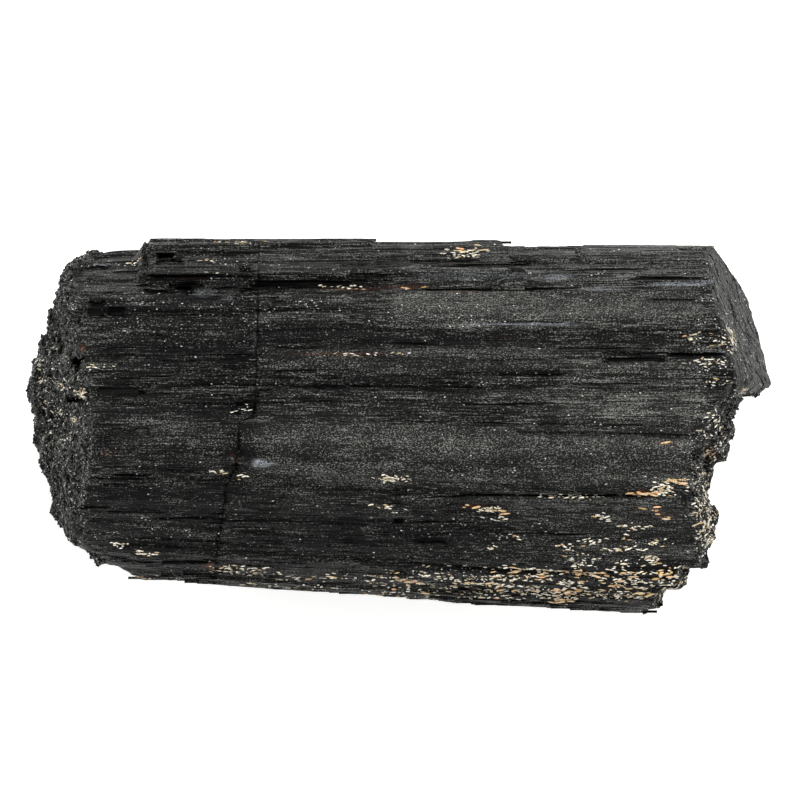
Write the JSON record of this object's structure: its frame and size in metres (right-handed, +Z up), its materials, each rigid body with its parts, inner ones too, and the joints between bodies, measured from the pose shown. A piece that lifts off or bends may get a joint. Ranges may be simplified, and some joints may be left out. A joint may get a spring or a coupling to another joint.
{
  "type": "black tourmaline crystal",
  "caption": "Large black tourmaline (schorl) crystal: a rounded three-sided prism with long ribs, pyramid ends and splintered corners, lying on a flat prism face.",
  "frame": {"origin": "under the middle of the crystal, on the surface it rests on", "axes": "+X along the crystal's length towards its smooth pyramid face, +Y across it towards the upper flank, +Z up"},
  "size_m": [0.1526, 0.0756, 0.0612],
  "materials": {
    "schorl": "striated, rough, with a low glassy sheen",
    "feldspar": "small cream grains with dull broken faces",
    "iron_stained_feldspar": "small grains stained tan and orange by iron",
    "mica": "tiny pale flakes with a pearly sheen"
  },
  "bodies": {
    "root": {"tourmaline_crystal": "schorl"}
  },
  "joints": []
}
